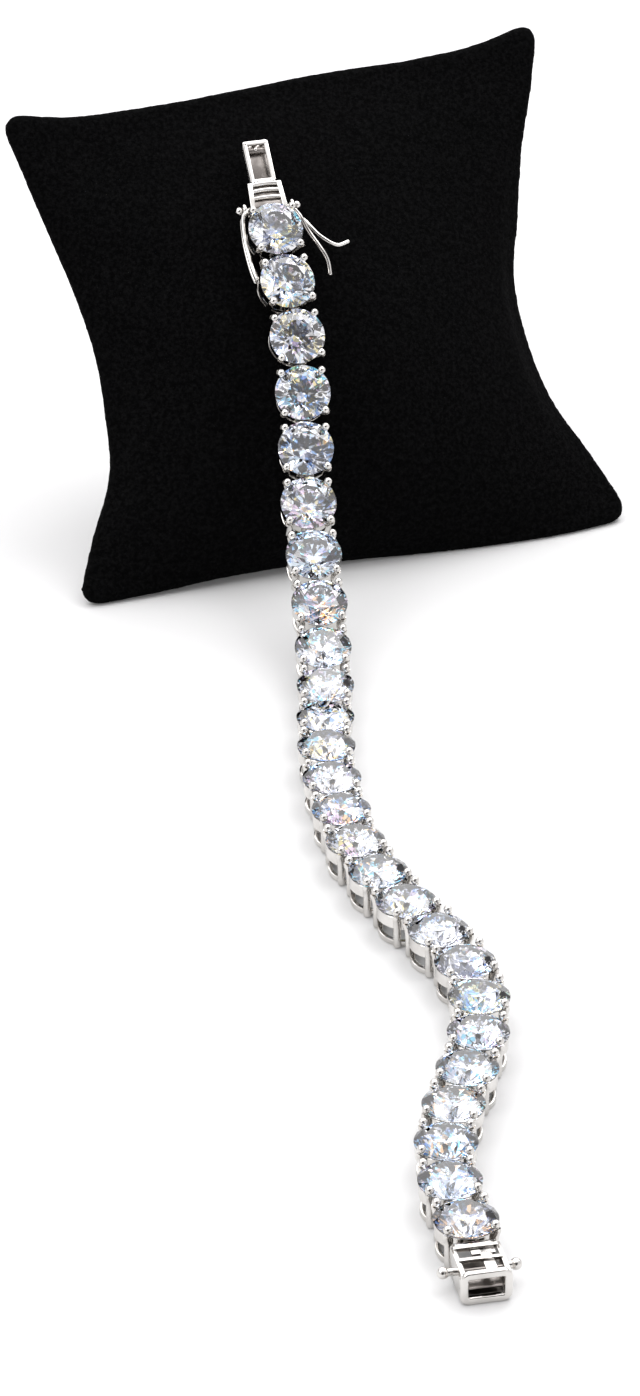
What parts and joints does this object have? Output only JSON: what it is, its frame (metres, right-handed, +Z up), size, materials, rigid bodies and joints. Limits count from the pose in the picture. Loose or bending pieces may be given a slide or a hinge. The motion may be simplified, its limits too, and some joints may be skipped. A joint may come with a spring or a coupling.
{
  "type": "tennis bracelet on a velvet display pillow",
  "caption": "Open tennis bracelet of round brilliants in four-prong settings with a box clasp and two wire safety latches, lying over a small velvet display pillow.",
  "frame": {"origin": "on the floor, in the middle of the flat patch that the pillow stands on", "axes": "+Z up, the chain runs down the pillow's front and along the floor towards -Y, +X is to the right as seen from the front"},
  "size_m": [0.0747, 0.1914, 0.051],
  "materials": {
    "silver": "rhodium plated silver, bright polish",
    "crystal": "clear cut cubic zirconia",
    "velvet": "short black velvet pile"
  },
  "bodies": {
    "bracelet_and_pillow": {"display_pillow": "velvet", "upper_settings": "silver", "lower_settings": "silver", "clasp_tongue": "silver", "clasp_box": "silver", "stone_01": "crystal", "stone_02": "crystal", "stone_03": "crystal", "stone_04": "crystal", "stone_05": "crystal", "stone_06": "crystal", "stone_07": "crystal", "stone_08": "crystal", "stone_09": "crystal", "stone_10": "crystal", "stone_11": "crystal", "stone_12": "crystal", "stone_13": "crystal", "stone_14": "crystal", "stone_15": "crystal", "stone_16": "crystal", "stone_17": "crystal", "stone_18": "crystal", "stone_19": "crystal", "stone_20": "crystal", "stone_21": "crystal", "stone_22": "crystal", "stone_23": "crystal", "stone_24": "crystal", "stone_25": "crystal", "stone_26": "crystal"},
    "left_latch": {"safety_latch_left": "silver"},
    "right_latch": {"safety_latch_right": "silver"}
  },
  "joints": [
    {"name": "left_latch_hinge", "type": "hinge", "parent": "bracelet_and_pillow", "child": "left_latch", "pos_m": [-0.01002, 0.00207, 0.04025], "axis": [-0.9619, -0.2735, 0], "range_deg": [0, 160]},
    {"name": "right_latch_hinge", "type": "hinge", "parent": "bracelet_and_pillow", "child": "right_latch", "pos_m": [-0.00463, 0.0036, 0.04025], "axis": [-0.9619, -0.2735, 0], "range_deg": [0, 160]}
  ]
}
